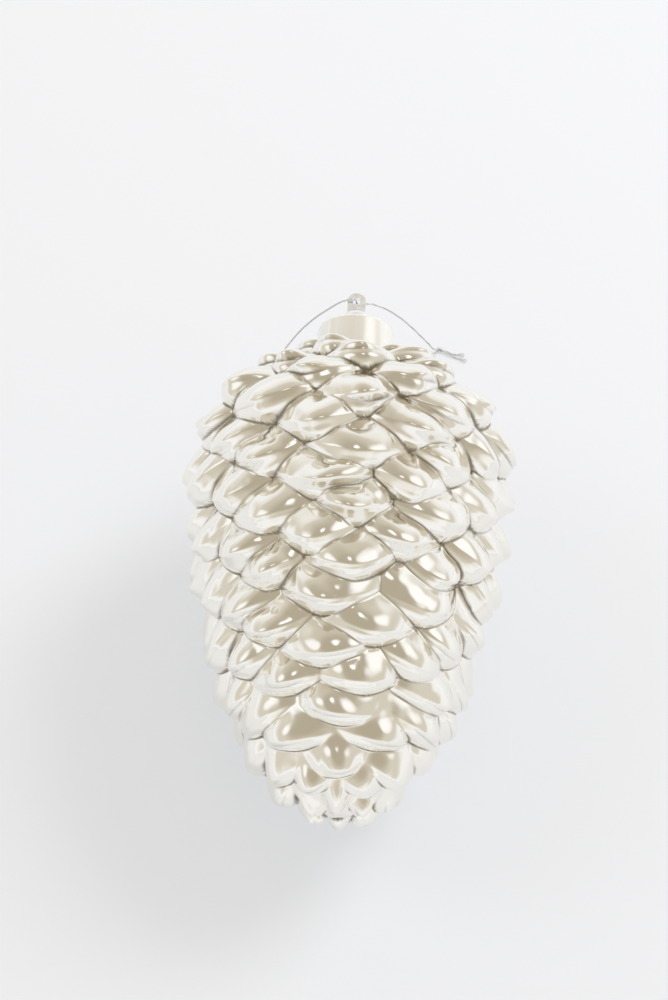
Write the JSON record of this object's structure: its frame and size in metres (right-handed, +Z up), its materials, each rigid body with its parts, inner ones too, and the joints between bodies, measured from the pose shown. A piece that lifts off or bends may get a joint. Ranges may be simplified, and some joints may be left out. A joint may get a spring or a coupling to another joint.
{
  "type": "pine cone ornament",
  "caption": "Blown bauble shaped as a pine cone, with rows of pillow-like scales, a plain neck, a small silver cap with an eye, and a knotted hanging thread.",
  "frame": {"origin": "on the surface that the ornament lies on, under the middle of the box of the cone and its cap, thread left out", "axes": "+Z up, +Y along the ornament towards its neck and cap, +X across it"},
  "size_m": [0.0948, 0.1912, 0.096],
  "materials": {
    "cone_lacquer": "mirror-bright champagne lacquer over a silvered coat on a blown bulb",
    "cap_chrome": "bright silver plating",
    "thread_grey": "thin grey twisted thread"
  },
  "bodies": {
    "root": {"cone_body": "cone_lacquer", "hanger_cap": "cap_chrome", "hanging_thread": "thread_grey", "thread_knot": "thread_grey"}
  },
  "joints": []
}
